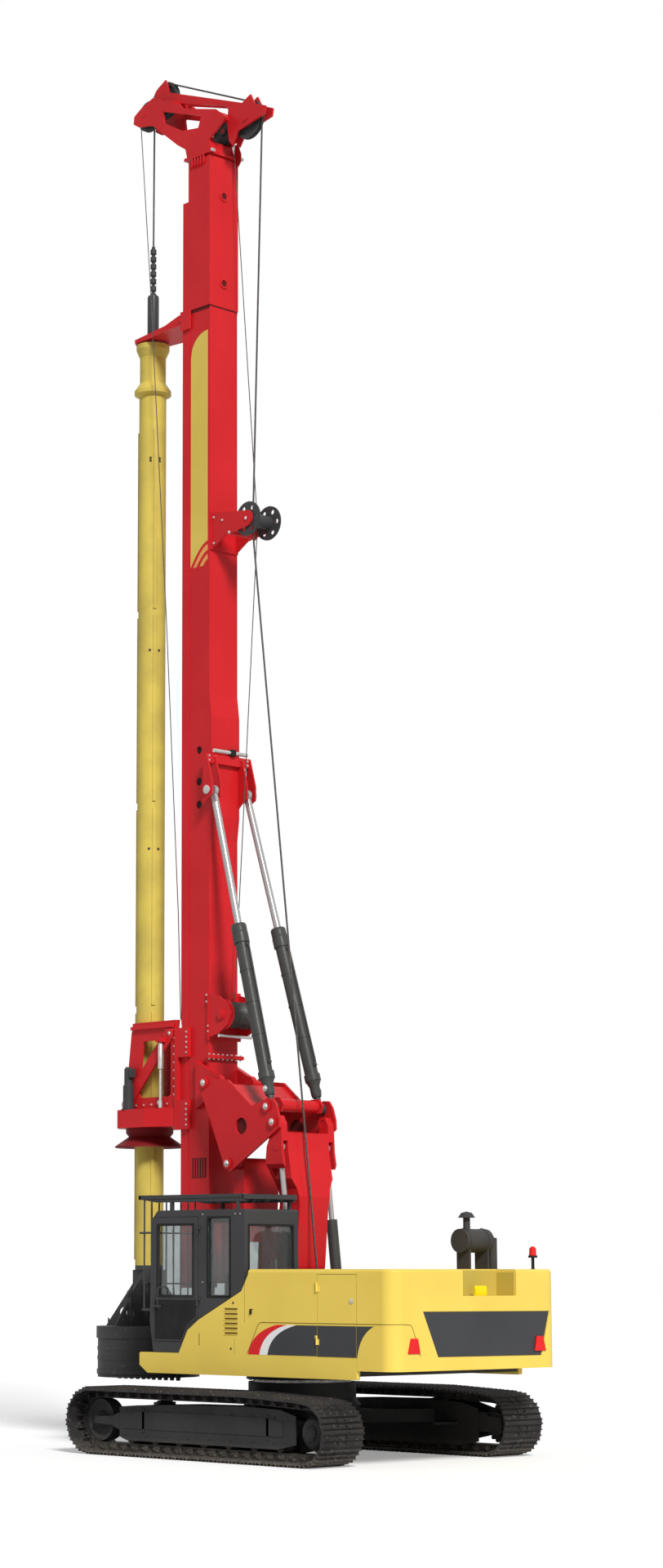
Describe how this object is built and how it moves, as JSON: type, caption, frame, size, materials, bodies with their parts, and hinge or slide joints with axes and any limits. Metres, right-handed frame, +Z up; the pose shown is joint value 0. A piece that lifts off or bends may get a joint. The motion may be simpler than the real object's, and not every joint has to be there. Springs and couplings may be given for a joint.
{
  "type": "rotary piling rig",
  "caption": "Crawler-mounted rotary piling rig with an upright mast, a kelly bar, a drilling bucket, winches and a slewing upper carriage.",
  "frame": {"origin": "on the ground under the middle of the rig's length, on its plane of symmetry", "axes": "+X forward towards the drilling axis, +Y to the rig's left, +Z up along the mast"},
  "size_m": [6.8829, 3.962, 19.55],
  "materials": {
    "mast_red": "glossy bright red paint",
    "body_yellow": "satin pale yellow paint",
    "kelly_yellow": "worn olive yellow paint with oil",
    "dark_grey": "satin dark grey paint",
    "chassis_grey": "dusty dark grey paint",
    "track_steel": "worn cast steel with soil",
    "barrel_grey": "satin grey paint",
    "rod_chrome": "polished chrome",
    "bare_steel": "machined steel",
    "tool_steel": "dark steel, abraded and soiled",
    "silencer": "heat-dulled grey",
    "engine_grey": "painted casting",
    "lamp_red": "red lens",
    "window_glass": "tinted safety glass",
    "seat_black": "black cloth"
  },
  "bodies": {
    "undercarriage": {"car_body": "chassis_grey", "slew_ring": "bare_steel", "track_left": "track_steel", "track_right": "track_steel", "track_frame_left": "chassis_grey", "track_frame_right": "chassis_grey", "track_rollers": "chassis_grey", "idlers": "chassis_grey", "sprockets": "chassis_grey"},
    "upper": {"upper_frame": "chassis_grey", "skirts": "body_yellow", "house_left": "body_yellow", "house_right": "body_yellow", "hood": "body_yellow", "counterweight": "body_yellow", "tank_box": "body_yellow", "engine_block": "engine_grey", "muffler": "silencer", "lamps": "lamp_red", "main_winch": "mast_red", "cab_shell": "dark_grey", "cab_glass": "window_glass", "cab_seat": "seat_black", "cab_guard": "dark_grey"},
    "cab_door": {"cab_door": "dark_grey", "cab_door_glass": "window_glass"},
    "side_door_left": {"side_door_left": "body_yellow"},
    "side_door_right": {"side_door_right": "body_yellow"},
    "boom": {"boom": "mast_red"},
    "support_link": {"support_link": "mast_red"},
    "lift_barrels": {"lift_cylinder_barrels": "barrel_grey"},
    "lift_rods": {"lift_cylinder_rods": "rod_chrome"},
    "delta": {"delta_frame": "mast_red"},
    "mast_barrel_left": {"mast_cylinder_barrel_left": "barrel_grey"},
    "mast_barrel_right": {"mast_cylinder_barrel_right": "barrel_grey"},
    "mast_rod_left": {"mast_cylinder_rod_left": "rod_chrome"},
    "mast_rod_right": {"mast_cylinder_rod_right": "rod_chrome"},
    "mast": {"mast_lower": "mast_red", "mast_upper": "mast_red", "mast_rails": "mast_red", "mast_head": "mast_red", "mast_brackets": "mast_red", "aux_winch": "mast_red", "crowd_cylinder": "barrel_grey"},
    "rotary_drive": {"crowd_rod": "rod_chrome", "drive_carriage": "mast_red", "rotary_gearbox": "mast_red", "drive_motors": "dark_grey", "drive_cone": "tool_steel"},
    "kelly_guide": {"kelly_guide": "mast_red"},
    "kelly": {"kelly_outer": "kelly_yellow", "kelly_inner": "tool_steel", "bucket_shell": "tool_steel", "bucket_top": "tool_steel"},
    "bucket_gate": {"bucket_gate": "tool_steel"},
    "head_sheave_front": {"head_sheave_front": "dark_grey"},
    "head_sheave_rear": {"head_sheave_rear": "dark_grey"},
    "aux_sheave_front": {"aux_sheave_front": "dark_grey"},
    "aux_sheave_rear": {"aux_sheave_rear": "dark_grey"},
    "guide_sheave": {"guide_sheave": "dark_grey"}
  },
  "joints": [
    {"name": "slew", "type": "hinge", "parent": "undercarriage", "child": "upper", "pos_m": [-0.345, 0, 1.05], "axis": [0, 0, 1], "continuous": true},
    {"name": "cab_door_hinge", "type": "hinge", "parent": "upper", "child": "cab_door", "pos_m": [0.043, 1.498, 2.3], "axis": [0, 0, 1], "range_deg": [0, 85]},
    {"name": "side_door_left_hinge", "type": "hinge", "parent": "upper", "child": "side_door_left", "pos_m": [-2.142, 1.512, 1.8], "axis": [0, 0, -1], "range_deg": [0, 95]},
    {"name": "side_door_right_hinge", "type": "hinge", "parent": "upper", "child": "side_door_right", "pos_m": [-2.142, -1.512, 1.8], "axis": [0, 0, 1], "range_deg": [0, 95]},
    {"name": "boom_luff", "type": "hinge", "parent": "upper", "child": "boom", "pos_m": [-0.185, 0, 1.75], "axis": [0, 1, 0], "range_deg": [-5, 20]},
    {"name": "support_link_foot", "type": "hinge", "parent": "upper", "child": "support_link", "pos_m": [0.672, 0, 1.233], "axis": [0, 1, 0], "range_deg": [-5.5, 20.5]},
    {"name": "lift_cylinder_foot", "type": "hinge", "parent": "upper", "child": "lift_barrels", "pos_m": [-0.675, 0, 1.48], "axis": [0, 1, 0], "range_deg": [-6, 20]},
    {"name": "lift_cylinder_stroke", "type": "slide", "parent": "lift_barrels", "child": "lift_rods", "axis": [0.1195, 0, 0.9928], "range_m": [-0.06, 0.18]},
    {"name": "delta_pivot", "type": "hinge", "parent": "boom", "child": "delta", "pos_m": [-0.364, 0, 4.263], "axis": [0, 1, 0], "range_deg": [-20.5, 5.5]},
    {"name": "mast_lean", "type": "hinge", "parent": "delta", "child": "mast", "pos_m": [0.962, 0, 4.833], "axis": [0, 1, 0], "range_deg": [-90, 5]},
    {"name": "drive_feed", "type": "slide", "parent": "mast", "child": "rotary_drive", "axis": [0, 0, -1], "range_m": [-2.4, 1.5]},
    {"name": "kelly_lower", "type": "slide", "parent": "mast", "child": "kelly_guide", "axis": [0, 0, -1], "range_m": [-0.8, 9]},
    {"name": "kelly_spin", "type": "hinge", "parent": "kelly_guide", "child": "kelly", "pos_m": [2.664, 0, 15.59], "axis": [0, 0, 1], "continuous": true},
    {"name": "bucket_gate_hinge", "type": "hinge", "parent": "kelly", "child": "bucket_gate", "pos_m": [3.409, 0, 0.935], "axis": [0, -1, 0], "range_deg": [0, 90]},
    {"name": "mast_cylinder_foot_left", "type": "hinge", "parent": "delta", "child": "mast_barrel_left", "pos_m": [-0.252, 0.437, 4.467], "axis": [0, 1, 0], "range_deg": [-100, 6]},
    {"name": "mast_cylinder_stroke_left", "type": "slide", "parent": "mast_barrel_left", "child": "mast_rod_left", "axis": [0.2808, -0.0275, 0.9594], "range_m": [-1.76, 0.11]},
    {"name": "mast_cylinder_foot_right", "type": "hinge", "parent": "delta", "child": "mast_barrel_right", "pos_m": [-0.252, -0.437, 4.467], "axis": [0, 1, 0], "range_deg": [-100, 6]},
    {"name": "mast_cylinder_stroke_right", "type": "slide", "parent": "mast_barrel_right", "child": "mast_rod_right", "axis": [0.2808, 0.0275, 0.9594], "range_m": [-1.76, 0.11]},
    {"name": "head_sheave_front_spin", "type": "hinge", "parent": "mast", "child": "head_sheave_front", "pos_m": [2.395, 0, 19.27], "axis": [0, 1, 0], "continuous": true},
    {"name": "head_sheave_rear_spin", "type": "hinge", "parent": "mast", "child": "head_sheave_rear", "pos_m": [0.615, 0, 18.45], "axis": [0, 1, 0], "continuous": true},
    {"name": "aux_sheave_front_spin", "type": "hinge", "parent": "mast", "child": "aux_sheave_front", "pos_m": [2.615, 0.12, 19.06], "axis": [0, 1, 0], "continuous": true},
    {"name": "aux_sheave_rear_spin", "type": "hinge", "parent": "mast", "child": "aux_sheave_rear", "pos_m": [1.275, -0.12, 18.5], "axis": [0, 1, 0], "continuous": true},
    {"name": "guide_sheave_spin", "type": "hinge", "parent": "mast", "child": "guide_sheave", "pos_m": [0.451, 0, 12.57], "axis": [0, 1, 0], "continuous": true}
  ],
  "couplings": [
    {"joint": "support_link_foot", "follows": "boom_luff", "ratio": 1},
    {"joint": "delta_pivot", "follows": "boom_luff", "ratio": -1},
    {"joint": "lift_cylinder_foot", "follows": "boom_luff", "ratio": 0.861},
    {"joint": "lift_cylinder_stroke", "follows": "boom_luff", "m_per_rad": 0.4327},
    {"joint": "mast_cylinder_foot_left", "follows": "mast_lean", "ratio": 1.0839},
    {"joint": "mast_cylinder_foot_right", "follows": "mast_lean", "ratio": 1.0839},
    {"joint": "mast_cylinder_stroke_left", "follows": "mast_lean", "m_per_rad": 1.1019},
    {"joint": "mast_cylinder_stroke_right", "follows": "mast_lean", "m_per_rad": 1.1019}
  ]
}
